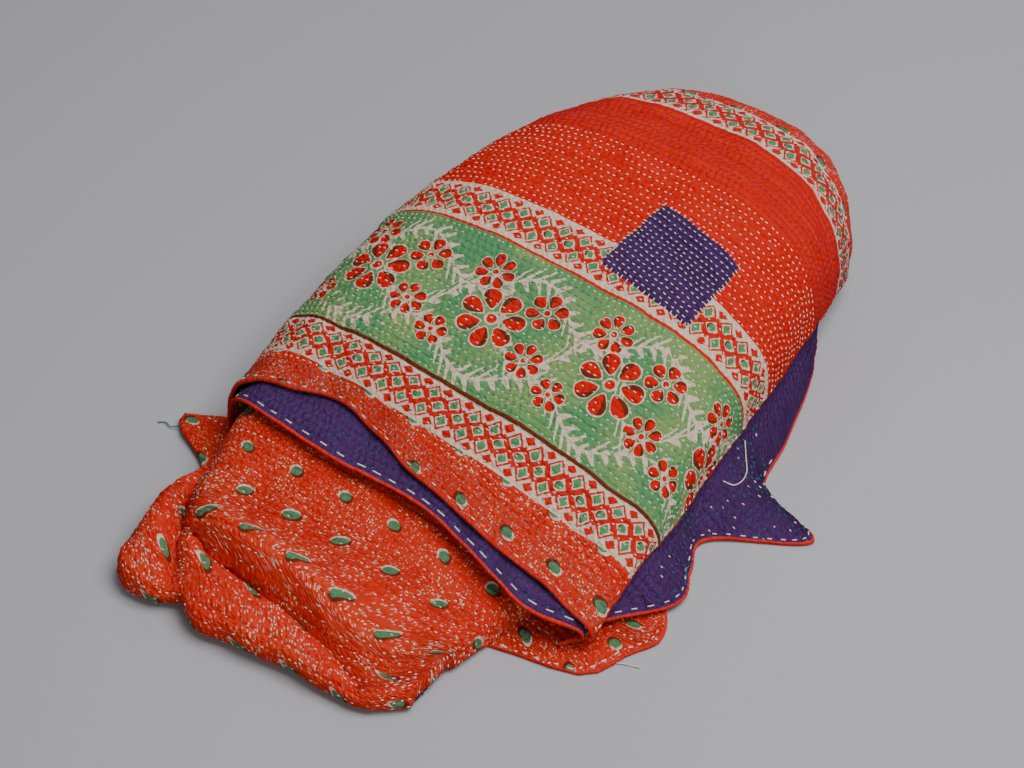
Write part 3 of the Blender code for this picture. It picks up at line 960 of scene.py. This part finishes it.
def stitch_form():
    """One stitch, a thread that dips into the cloth at both ends: its corners and its faces."""
    bpy.ops.object.select_all(action="DESELECT")
    bpy.ops.mesh.primitive_cube_add(size=1, location=(0, 0, 0))
    stitch = bpy.context.object
    bpy.ops.object.mode_set(mode="EDIT")
    bpy.ops.mesh.select_all(action="DESELECT")
    bpy.ops.object.mode_set(mode="OBJECT")
    for face in stitch.data.polygons:
        face.select = face.normal.z > 0.5
    bpy.ops.object.mode_set(mode="EDIT")
    bpy.ops.mesh.inset(thickness=STITCH_INSET)
    bpy.ops.transform.translate(value=(0, 0, STITCH_LIFT))
    bpy.ops.object.mode_set(mode="OBJECT")
    corners = np.array([tuple(vertex.co) for vertex in stitch.data.vertices])
    faces = [tuple(face.vertices) for face in stitch.data.polygons if face.normal.z > -0.5]
    bpy.data.objects.remove(stitch)
    return corners, faces


def stitch_mesh(name, stitches, width, height):
    """Many stitches as one mesh, each a copy of one stitch laid from its start to its end."""
    corners, faces = stitch_form()
    starts, ends, lifts = (np.array(part) for part in zip(*stitches))
    run = ends - starts
    side = unit(np.cross(lifts, run))
    middle = (starts + ends) / 2
    points = (middle[:, None] + run[:, None] * corners[None, :, 0:1]
              + side[:, None] * corners[None, :, 1:2] * width
              + lifts[:, None] * (corners[None, :, 2:3] * height + STITCH_CLEAR))
    copies = [tuple(corner + number * len(corners) for corner in face)
              for number in range(len(starts)) for face in faces]
    return mesh_object(name, points, copies)


def row_stitches(run, seed):
    """The running stitches of the rows of quilting in one part of the cloth."""
    numbers = np.random.default_rng(seed)
    rows = fine_rows()
    middle, outward, flat = folded()
    low, high = ply_columns(run["ply"])
    surface = middle + outward * CLOTH_FAR * run["side"]
    stitches = []
    for line, place in enumerate(rows):
        if not run["start"] <= place <= run["end"] or round(place / HALF_ROW) % 2:
            continue
        across = flat[line, low:high + 1, 0][::-1]
        first, last = max(run["left"], across[0]), min(run["right"], across[-1])
        begins = np.arange(first + numbers.uniform(0, STITCH_PITCH), last - STITCH_LENGTH, STITCH_PITCH)
        begins = begins + numbers.normal(0, STITCH_STRAY, len(begins))
        finishes = begins + STITCH_LENGTH * numbers.uniform(0.75, 1.25, len(begins))
        kept = numbers.random(len(begins)) < run["share"]
        ways = []
        for spots in (begins[kept], finishes[kept]):
            columns = high - np.interp(spots, across, np.arange(high - low + 1))
            left = np.clip(columns.astype(int), low, high - 1)
            share = (columns - left)[:, None]
            ways.append(surface[line, left] * (1 - share) + surface[line, left + 1] * share)
            out = outward[line, left]
        stitches += list(zip(ways[0], ways[1], out * run["side"]))
    return stitches


def line_stitches(row, seed):
    """Larger stitches along a line through places (across, along)."""
    numbers = np.random.default_rng(seed)
    places = np.array(row["line"], float)
    reach = reach_along(places)
    stitches = []
    at = row["pitch"] / 2
    while at < reach[-1] - row["length"]:
        ends = []
        long = row["length"] * numbers.uniform(0.8, 1.15)
        for spot in (at, at + long):
            across, along = (np.interp(spot, reach, places[:, axis]) for axis in (0, 1))
            point, out = cloth_point(row["ply"], across, row_at(along), row["side"])
            ends.append(point)
        stitches.append((*ends, out))
        at += row["pitch"] * numbers.uniform(0.85, 1.2)
    return stitches


class KanthaSizes(bpy.types.PropertyGroup):
    """Sizes that a maker of this quilt might change."""
    stitch_width: FloatProperty(name="Stitch width", description="Width of a running stitch",
                                default=0.0007, unit="LENGTH", subtype="DISTANCE")
    stitch_height: FloatProperty(name="Stitch height", description="How far a stitch stands proud",
                                 default=0.0006, unit="LENGTH", subtype="DISTANCE")
    edge_width: FloatProperty(name="Turned edge", description="Width of the turned edge on each side",
                              default=0.0014, unit="LENGTH", subtype="DISTANCE")
    thread_width: FloatProperty(name="Thread", description="Thickness of a loose thread",
                                default=0.0009, unit="LENGTH", subtype="DISTANCE")


class KanthaColours(bpy.types.PropertyGroup):
    """Thread colours."""
    white: FloatVectorProperty(name="White thread", description="The thread of most of the quilting",
                               default=(0.72, 0.63, 0.53), size=3, subtype="COLOR", min=0, max=1)
    navy: FloatVectorProperty(name="Navy thread", description="The thread at the far end",
                              default=(0.030, 0.035, 0.11), size=3, subtype="COLOR", min=0, max=1)
    teal: FloatVectorProperty(name="Teal thread", description="The thread of the hem and some rows",
                              default=(0.01, 0.14, 0.17), size=3, subtype="COLOR", min=0, max=1)


# Where the rows of quilting show, and their thread: the ply, its face (1) or backing (-1), from and
# to along the cloth, from and to across it, and the share of the stitches that shows.
QUILTING_COLUMNS = ("thread", "ply", "side", "start", "end", "left", "right", "share")
QUILTING = (
    ("teal", "over", 1, 0, 34, -300, 300, 0.75),
    ("white", "over", 1, 36, 165, -300, 300, 0.80),
    ("white", "over", 1, 168, 208, -300, -62, 0.85),
    ("teal", "over", 1, 168, 208, -60, 62, 0.85),
    ("white", "over", 1, 168, 208, 64, 300, 0.85),
    ("white", "over", 1, 210, 344, -300, 300, 0.92),
    ("navy", "over", 1, 348, 560, -300, 300, 0.90),
    ("teal", "under", -1, 0, 250, -800, -240, 0.40),
    ("white", "under", -1, 60, 250, -800, -560, 0.06),
    ("white", "under", 1, 1000, 1210, -620, -140, 0.45),
    ("white", "over", 1, 1200, 1400, -300, 300, 0.75),
)

# Larger stitches: the thread, the ply, its side, their line (across, along), length and pitch.
HEM_STITCH_COLUMNS = ("thread", "ply", "side", "line", "length", "pitch")
HEM_STITCH_WIDER = 1.15   # how much wider and higher they are than the running stitches
HEM_STITCH_HIGHER = 1.4
HEM_LINE_POINTS = 60
QUILTING_SEED = 11
HEM_SEED = 41
FLARE_ROWS = range(0, 90, 2)
LOBE_ENDS = (1240, 1400)  # where the red margin in front starts and ends, along the cloth


def make_threads(context, name, stitches, wider=1.0, higher=1.0):
    """One piece for each thread colour of a group of stitches."""
    sizes = context.scene.kantha_sizes
    for shade, found in stitches.items():
        piece = stitch_mesh(name + "_" + shade, found, sizes.stitch_width / MM * wider,
                            sizes.stitch_height / MM * higher)
        colour = tuple(getattr(context.scene.kantha_colours, shade))
        give(piece, thread(name + "_" + shade, colour))


def along_hem(start, end, inset):
    """A line of places along a hem, from one place across it to another."""
    return [(across, inset) for across in np.linspace(start, end, HEM_LINE_POINTS)]


def along_side(ends, inset, picked):
    """A line of places along a free side edge, over the picked fine rows."""
    rows = fine_rows()
    return [(ends[row] + inset, rows[row]) for row in picked]


def hem_lines():
    """The lines of the larger stitches, read off the cloth's free edges."""
    flat = folded()[2]
    over_end = flat[:, ply_columns("over")[0], 0]
    under_end = flat[:, ply_columns("under")[1], 0]
    lobe = range(*(int(row_at(place)) for place in LOBE_ENDS))
    return named(HEM_STITCH_COLUMNS, (
        ("white", "under", -1, along_hem(-250, under_end[0] + 4, 4.5), 6.4, 15),
        ("white", "over", 1, along_hem(-170, over_end[0] - 3, 3.5), 3.2, 13),
        ("white", "under", -1, along_side(under_end, 4.5, FLARE_ROWS), 4.2, 11),
        ("white", "over", 1, along_side(over_end, -4, FLARE_ROWS), 3.2, 12),
        ("white", "over", 1, along_side(over_end, -4.5, lobe), 4, 10),
    ))


class KANTHA_OT_face(bpy.types.Operator):
    """Makes the printed face cloth, folded with the quilt"""
    bl_idname = "kantha.face"
    bl_label = "Printed face"

    def execute(self, context):
        middle, outward, flat = folded()
        face = sheet_object("printed_face", middle + outward * CLOTH_FAR, flat, fine_rows(), False)
        give(face, printed_cotton())
        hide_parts("face_cloth")
        return {"FINISHED"}


class KANTHA_OT_backing(bpy.types.Operator):
    """Makes the plain backing cloth on the other side of the quilting"""
    bl_idname = "kantha.backing"
    bl_label = "Plain backing"

    def execute(self, context):
        middle, outward, flat = folded()
        backing = sheet_object("plain_backing", middle - outward * CLOTH_FAR, flat, fine_rows(), True)
        give(backing, plain_cotton("plain_cotton"))
        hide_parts("backing_cloth")
        return {"FINISHED"}


EDGE_ANGLES = (90, 45, 0, -45, -90)
EDGE_LIE = 0.1            # how far the turned edge stands off the cloth beside its fold
EDGE_BULGE = 0.2          # and round its fold
EDGE_FLATNESS = 0.8


class KANTHA_OT_edge(bpy.types.Operator):
    """Makes the turned edge that closes the two cloths all round"""
    bl_idname = "kantha.edge"
    bl_label = "Turned edge"

    def execute(self, context):
        middle, outward, flat = folded()
        width = context.scene.kantha_sizes.edge_width / MM
        last_row, last_column = middle.shape[0] - 1, middle.shape[1] - 1
        points, places = [], []
        for row, column in edge_loop(*middle.shape[:2]):
            inner = (min(max(row, 1), last_row - 1), min(max(column, 1), last_column - 1))
            out = unit(middle[row, column] - middle[inner])
            up = outward[row, column]
            start = middle[row, column]
            section = [start - out * width + up * (CLOTH_FAR + EDGE_LIE)]
            for turn in np.radians(EDGE_ANGLES):
                way = out * math.cos(turn) * EDGE_FLATNESS + up * math.sin(turn)
                section.append(start + way * (CLOTH_FAR + EDGE_BULGE))
            section.append(start - out * width - up * (CLOTH_FAR + EDGE_LIE))
            points.append(section)
            places.append([flat[row, column]] * len(section))
        points = np.array(points)
        points[..., 2] = np.maximum(points[..., 2], 0.05)
        faces = grid_faces(*points.shape[:2], closed=True)
        edge = mesh_object("turned_edge", points, faces, flat_cloth=places)
        give(edge, turned_edge())
        return {"FINISHED"}


# The patch's corners, across and along the cloth: near left, far left, far right, near right.
PATCH_CORNERS = ((38, 233), (43, 308), (124, 295), (125, 223))
PATCH_STEPS = 84
PATCH_THICK = 1.1         # how high it stands over the face
PATCH_ROW = 5.6           # from one of its rows of stitches to the next
PATCH_PUFF = 0.28
PATCH_ROUNDING = 0.036
PATCH_WOBBLE = 0.006
PATCH_ROWS = 15
PATCH_PITCH = 5.7
PATCH_STITCH = 2.3
PATCH_EDGE_STITCHES = 17
PATCH_SEED = 5


def patch_point(share_across, share_along, height):
    """A point on the patch, over the cloth under it, and the way out of it."""
    near_left, far_left, far_right, near_right = (np.array(corner, float) for corner in PATCH_CORNERS)
    near = near_left * (1 - share_across) + near_right * share_across
    far = far_left * (1 - share_across) + far_right * share_across
    across, along = near * (1 - share_along) + far * share_along
    point, out = cloth_point("over", across, row_at(along), 1)
    return point + out * height, out


def patch_width():
    """The patch's length along its near edge."""
    return np.linalg.norm(np.subtract(PATCH_CORNERS[3], PATCH_CORNERS[0]))


def patch_place(row, column):
    """A point of the patch: its outline wobbles, its corners are round and its edge is turned in."""
    along, across = row / PATCH_STEPS, column / PATCH_STEPS
    side = 1 if across > 0.5 else -1
    corner = (abs(2 * along - 1) * abs(2 * across - 1)) ** 8
    wobble_across = PATCH_WOBBLE * math.sin(along * 19.0) * (2 * across - 1) ** 4 * side
    wobble_along = PATCH_WOBBLE * math.sin(across * 16.0 + 2.0) * (2 * along - 1) ** 4
    cell = min(row, column, PATCH_STEPS - row, PATCH_STEPS - column)
    height = (-0.5, PATCH_THICK * 0.75, PATCH_THICK)[min(cell, 2)]
    if cell > 1:
        height += 0.35 * math.exp(-((cell - 2) / 1.6) ** 2)
    if cell > 2:
        height += PATCH_PUFF * abs(math.sin(along * patch_width() / PATCH_ROW * math.pi))
    shrink = 1 - PATCH_ROUNDING * corner
    point, _ = patch_point(0.5 + (across - 0.5) * shrink + wobble_across,
                           0.5 + (along - 0.5) * shrink + wobble_along, height)
    return point


def patch_stitches():
    """The rows of running stitches on the patch, then the stitches that hold down its edge."""
    numbers = np.random.default_rng(PATCH_SEED)
    wide = patch_width()
    stitches = []
    for row in range(1, PATCH_ROWS):
        across = 0.03 + numbers.uniform(0, 0.03)
        while across < 0.95:
            long = PATCH_STITCH / wide * numbers.uniform(0.8, 1.2)
            ends = [patch_point(place, row / PATCH_ROWS + numbers.normal(0, 0.002), PATCH_THICK)
                    for place in (across, across + long)]
            stitches.append((ends[0][0], ends[1][0], ends[0][1]))
            across += PATCH_PITCH / wide * numbers.uniform(0.9, 1.1)
    for side in range(4):
        for step in range(PATCH_EDGE_STITCHES):
            at = (step + numbers.uniform(0.3, 0.7)) / PATCH_EDGE_STITCHES
            ends = []
            for inset, height in ((-0.012, 0.2), (0.022, PATCH_THICK + 0.3)):
                place = ((at, inset), (at, 1 - inset), (inset, at), (1 - inset, at))[side]
                point, out = patch_point(*place, height)
                ends.append(point)
            stitches.append((*ends, out))
    return stitches


class KANTHA_OT_patch(bpy.types.Operator):
    """Makes the purple patch with its rows of stitches, sewn down on the face"""
    bl_idname = "kantha.patch"
    bl_label = "Patch"

    def execute(self, context):
        steps = range(PATCH_STEPS + 1)
        shares = np.linspace(0, 1, PATCH_STEPS + 1)
        wide = patch_width()
        grid = np.array([[patch_place(row, column) for column in steps] for row in steps])
        flat = np.stack(np.meshgrid(shares * wide, shares * wide), axis=-1)
        patch = sheet_object("purple_patch", grid, flat, shares * wide / PATCH_ROW * STITCH_ROW, True)
        give(patch, plain_cotton("patch_cotton"))
        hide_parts("patch")
        make_threads(context, "patch_stitches", {"white": patch_stitches()})
        return {"FINISHED"}


class KANTHA_OT_quilting(bpy.types.Operator):
    """Sews the rows of running stitches that hold the cloths together, where they show"""
    bl_idname = "kantha.quilting"
    bl_label = "Quilting stitches"

    def execute(self, context):
        stitches = {}
        for seed, run in enumerate(named(QUILTING_COLUMNS, QUILTING), QUILTING_SEED):
            stitches.setdefault(run["thread"], []).extend(row_stitches(run, seed))
        make_threads(context, "quilting", stitches)
        return {"FINISHED"}


class KANTHA_OT_hems(bpy.types.Operator):
    """Sews the larger stitches along the hems and side edges"""
    bl_idname = "kantha.hems"
    bl_label = "Hem stitches"

    def execute(self, context):
        stitches = {}
        for seed, row in enumerate(hem_lines(), HEM_SEED):
            stitches.setdefault(row["thread"], []).extend(line_stitches(row, seed))
        make_threads(context, "hem_stitches", stitches, HEM_STITCH_WIDER,
                     HEM_STITCH_HIGHER)
        return {"FINISHED"}


# Loose thread ends: the shade and the route. A route on the backing of the lower ply is in places
# (across, along); one on the floor is in points.
LOOSE_THREADS = (
    ("white", "cloth", ((-688, 224), (-697, 214), (-702, 202), (-700, 190), (-693, 180), (-684, 177))),
    ("white", "floor", ((146, -189, 3.2), (160, -187, 1.3), (173, -181, 1), (186, -177, 0.9))),
    ("teal", "cloth", ((-681, 105), (-673, 96), (-668, 87), (-662, 77))),
    ("teal", "floor", ((-232, -168, 4), (-239, -171, 1.8), (-246, -169, 1), (-251, -172, 0.9))),
)
THREAD_SIDES = 6
THREAD_STEPS = 24
THREAD_LIFT = 1.5         # radii from the cloth to the middle of a thread on it


def thread_tube(line, radius):
    """A round thread along a smooth line through points, closed at its ends: its points and faces."""
    line = np.array(line, float)
    reach = reach_along(line)
    path = smooth_path(line, reach, np.linspace(0, reach[-1], THREAD_STEPS + 1))
    run = unit(np.gradient(path, axis=0))
    side = unit(np.cross(run, (0.1, 0.2, 1.0)))
    rise = np.cross(side, run)
    turns = np.arange(THREAD_SIDES) * math.tau / THREAD_SIDES
    rings = (path[:, None] + side[:, None] * np.cos(turns)[None, :, None] * radius
             + rise[:, None] * np.sin(turns)[None, :, None] * radius)
    rings[..., 2] = np.maximum(rings[..., 2], 0.1)
    faces = []
    for low in range(0, THREAD_STEPS * THREAD_SIDES, THREAD_SIDES):
        high = low + THREAD_SIDES
        for turn in range(THREAD_SIDES):
            after = (turn + 1) % THREAD_SIDES
            faces.append((low + turn, high + turn, high + after, low + after))
    faces.append(tuple(range(THREAD_SIDES)))
    faces.append(tuple(len(path) * THREAD_SIDES - 1 - turn for turn in range(THREAD_SIDES)))
    return rings.reshape(-1, 3), faces


class KANTHA_OT_loose_threads(bpy.types.Operator):
    """Lays the few short loose ends of thread"""
    bl_idname = "kantha.loose_threads"
    bl_label = "Loose threads"

    def execute(self, context):
        radius = context.scene.kantha_sizes.thread_width / MM / 2
        for number, (shade, ground, line) in enumerate(LOOSE_THREADS, 1):
            if ground == "cloth":
                found = [cloth_point("under", across, row_at(along), -1) for across, along in line]
                line = [point + out * radius * THREAD_LIFT for point, out in found]
            piece = mesh_object(f"loose_thread_{number}", *thread_tube(line, radius))
            colour = tuple(getattr(context.scene.kantha_colours, shade))
            give(piece, thread(f"loose_{shade}_{number}", colour))
        return {"FINISHED"}


# Soft lights, in metres, degrees and watts.
LIGHT_COLUMNS = ("name", "place", "turn", "size", "power")
LIGHTS = (
    ("key", (0.75, 0.10, 2.1), (-3, 20, 0), 1.4, 66),
    ("fill", (1.6, -1.6, 1.2), (38, 52, 0), 1.8, 17),
    ("back", (-1.2, 1.6, 1.8), (-36, -34, 0), 1.6, 5),
)
CAMERA_AZIMUTH = 32
CAMERA_ELEVATION = 47
CAMERA_DISTANCE = 1.86
CAMERA_LENS = 85
CAMERA_TARGET = (-0.0189, -0.0220, 0.040)
FLOOR_SIZE = 12
FLOOR_DROP = 0.0005       # how far the floor lies under the quilt, in metres
STUDIO_STRENGTH = 0.30


class KANTHA_OT_stage(bpy.types.Operator):
    """Sets the quilt on a plain pale floor, in soft light, with the camera"""
    bl_idname = "kantha.stage"
    bl_label = "Floor, light and camera"

    def execute(self, context):
        bpy.ops.object.select_all(action="DESELECT")
        bpy.ops.mesh.primitive_plane_add(size=FLOOR_SIZE, location=(0, 0, -FLOOR_DROP))
        floor = context.object
        floor.name = "floor"
        finish = Finish("floor_grey", 0.8)
        finish.paint(FLOOR_GREY)
        floor.data.materials.append(finish.material)
        for row in named(LIGHT_COLUMNS, LIGHTS):
            bpy.ops.object.light_add(type="AREA", location=row["place"],
                                     rotation=tuple(math.radians(part) for part in row["turn"]))
            light = context.object
            light.name = row["name"]
            light.data.size = row["size"]
            light.data.energy = row["power"]
        world = bpy.data.worlds.new("studio")
        world.use_nodes = True
        backdrop = world.node_tree.nodes["Background"]
        backdrop.inputs["Color"].default_value = STUDIO_GREY
        backdrop.inputs["Strength"].default_value = STUDIO_STRENGTH
        context.scene.world = world
        azimuth, elevation = math.radians(CAMERA_AZIMUTH), math.radians(CAMERA_ELEVATION)
        away = (math.sin(azimuth) * math.cos(elevation), -math.cos(azimuth) * math.cos(elevation),
                math.sin(elevation))
        place = [point + part * CAMERA_DISTANCE for point, part in zip(CAMERA_TARGET, away)]
        bpy.ops.object.camera_add(location=place, rotation=(math.pi / 2 - elevation, 0, azimuth))
        camera = context.object
        camera.data.lens = CAMERA_LENS
        context.scene.camera = camera
        return {"FINISHED"}


class KANTHA_PT_panel(bpy.types.Panel):
    """Lists the quilt's pieces, sizes and colours"""
    bl_label = "Folded kantha quilt"
    bl_space_type = "VIEW_3D"
    bl_region_type = "UI"
    bl_category = "Quilt"

    def draw(self, context):
        for piece in PIECES:
            self.layout.operator(piece.bl_idname)
        for group in (context.scene.kantha_sizes, context.scene.kantha_colours):
            for name in group.bl_rna.properties.keys():
                if name not in ("name", "rna_type"):
                    self.layout.prop(group, name)


PIECES = (KANTHA_OT_face, KANTHA_OT_backing, KANTHA_OT_edge, KANTHA_OT_patch, KANTHA_OT_quilting,
          KANTHA_OT_hems, KANTHA_OT_loose_threads, KANTHA_OT_stage)
GROUPS = (KanthaSizes, KanthaColours)


def register():
    """Adds the settings, the pieces and the panel to Blender."""
    for kind in GROUPS + PIECES + (KANTHA_PT_panel,):
        bpy.utils.register_class(kind)
    bpy.types.Scene.kantha_sizes = PointerProperty(type=KanthaSizes)
    bpy.types.Scene.kantha_colours = PointerProperty(type=KanthaColours)


def unregister():
    """Takes them out again."""
    del bpy.types.Scene.kantha_colours
    del bpy.types.Scene.kantha_sizes
    for kind in reversed(GROUPS + PIECES + (KANTHA_PT_panel,)):
        bpy.utils.unregister_class(kind)


def main():
    """Makes every piece."""
    register()
    bpy.ops.kantha.stage()
    bpy.ops.kantha.face()
    bpy.ops.kantha.backing()
    bpy.ops.kantha.edge()
    bpy.ops.kantha.patch()
    bpy.ops.kantha.quilting()
    bpy.ops.kantha.hems()
    bpy.ops.kantha.loose_threads()


if __name__ == "__main__":
    main()
